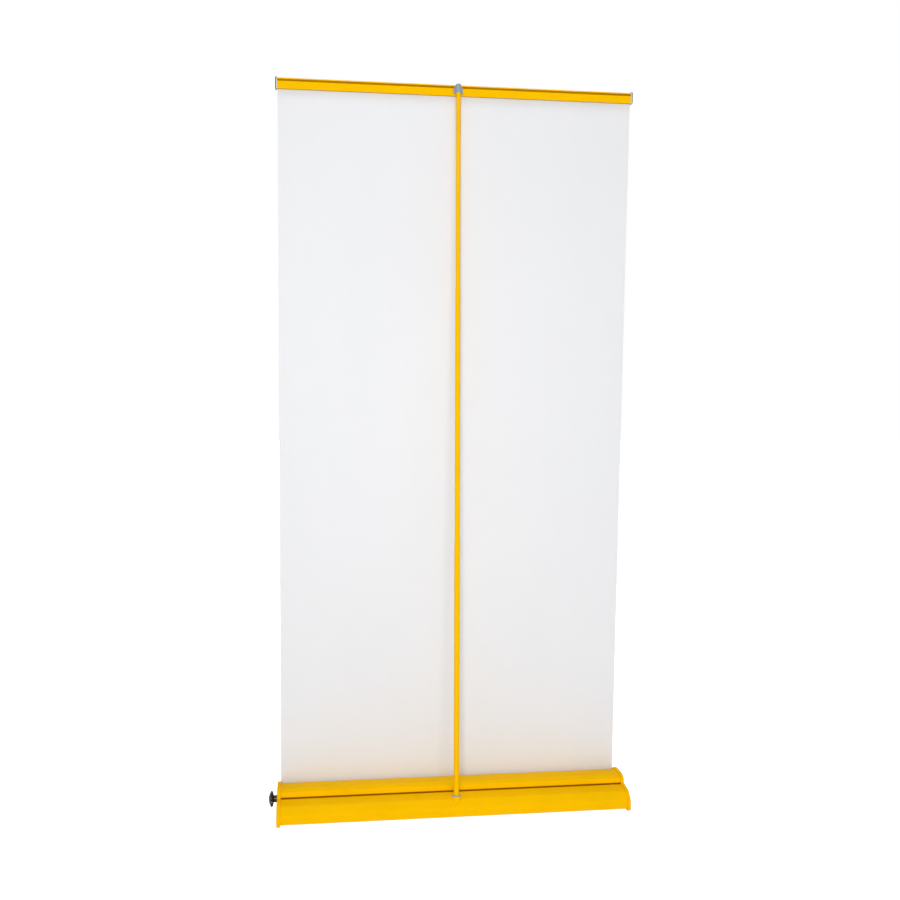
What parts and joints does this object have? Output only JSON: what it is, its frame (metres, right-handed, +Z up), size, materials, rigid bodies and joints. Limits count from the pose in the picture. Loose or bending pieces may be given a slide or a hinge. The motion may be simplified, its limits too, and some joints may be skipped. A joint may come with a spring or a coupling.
{
  "type": "welding curtain screen",
  "caption": "Free-standing roll-up welding screen: yellow spring-roller cassette with a brake knob, telescopic pole, hooked top rail and one pale satin sheet.",
  "frame": {"origin": "bottom centre of the whole part's box, on the floor; the screen's mid-plane is 12.25 mm to +X because the knob stands out at -X", "axes": "+X along the screen away from the knob, +Y from the pole side to the sheet's slot, +Z up"},
  "size_m": [1.0054, 0.194, 2.003],
  "materials": {
    "yellow_coat": "satin",
    "rail_coat": "satin",
    "grey_plastic": "satin",
    "black_plastic": "satin",
    "bush_plastic": "satin",
    "bright_steel": "satin",
    "roller_aluminium": "satin",
    "insert_brass": "satin",
    "foot_rubber": "matte",
    "brush_pile": "matte",
    "sheet_fabric": "satin"
  },
  "bodies": {
    "base": {"left_end_plate": "yellow_coat", "right_end_plate": "yellow_coat", "lower_shell": "yellow_coat", "upper_shell": "yellow_coat", "left_end_screws": "bright_steel", "right_end_screws": "bright_steel", "left_foot_pads": "foot_rubber", "right_foot_pads": "foot_rubber", "slot_brush": "brush_pile", "guide_rod": "bright_steel", "pole_socket": "grey_plastic", "socket_bracket": "bright_steel", "bracket_rivets": "bright_steel", "bearing_bush": "bush_plastic", "spring_arbor": "bright_steel", "arbor_collar": "bright_steel", "torsion_spring": "bright_steel", "lower_tube": "yellow_coat", "tube_foot_plug": "grey_plastic", "sheet": "sheet_fabric", "sheet_tail": "sheet_fabric"},
    "roller": {"roller_tube": "roller_aluminium", "left_roller_plug": "grey_plastic", "right_roller_plug": "grey_plastic", "roller_shaft": "bright_steel", "sheet_wraps": "sheet_fabric"},
    "washer": {"brake_washer": "bush_plastic"},
    "knob": {"brake_knob": "black_plastic", "knob_insert": "insert_brass"},
    "mid_pole": {"mid_tube": "yellow_coat", "mid_lock_bush": "grey_plastic"},
    "upper_pole": {"upper_tube": "yellow_coat", "upper_lock_bush": "grey_plastic", "hook_head": "grey_plastic", "hook_pin": "bright_steel"},
    "top_rail": {"rail_body": "rail_coat", "rail_groove_wall": "rail_coat", "rail_top_web": "rail_coat", "rail_lip": "rail_coat", "left_rail_cap": "grey_plastic", "right_rail_cap": "grey_plastic", "hem_rod": "bright_steel"},
    "clamp_flap": {"rail_clamp_flap": "rail_coat"}
  },
  "joints": [
    {"name": "mid_tube_slide", "type": "slide", "parent": "base", "child": "mid_pole", "axis": [0, 0, -1], "range_m": [0, 0.66], "deforming": ["sheet"]},
    {"name": "upper_tube_slide", "type": "slide", "parent": "mid_pole", "child": "upper_pole", "axis": [0, 0, -1], "range_m": [0, 0.4801]},
    {"name": "roller_spin", "type": "hinge", "parent": "base", "child": "roller", "pos_m": [0.01225, 0.03, 0.035], "axis": [-1, 0, 0], "range_deg": [0, 3403]},
    {"name": "rail_lift", "type": "slide", "parent": "upper_pole", "child": "top_rail", "axis": [0, 0, 1], "range_m": [0, 0.0032]},
    {"name": "clamp_flap_hinge", "type": "hinge", "parent": "top_rail", "child": "clamp_flap", "pos_m": [0.01225, -0.0442, 1.9949], "axis": [1, 0, 0], "range_deg": [0, 70]},
    {"name": "brake_release", "type": "slide", "parent": "roller", "child": "washer", "axis": [-1, 0, 0], "range_m": [0, 0.0025]},
    {"name": "knob_turn", "type": "hinge", "parent": "washer", "child": "knob", "pos_m": [-0.48775, 0.03, 0.035], "axis": [-1, 0, 0], "range_deg": [0, 721]}
  ],
  "couplings": [
    {"joint": "upper_tube_slide", "follows": "mid_tube_slide", "ratio": 0.72727},
    {"joint": "roller_spin", "follows": "mid_tube_slide", "rad_per_m": 89.962},
    {"joint": "knob_turn", "follows": "brake_release", "rad_per_m": 5026.5}
  ]
}
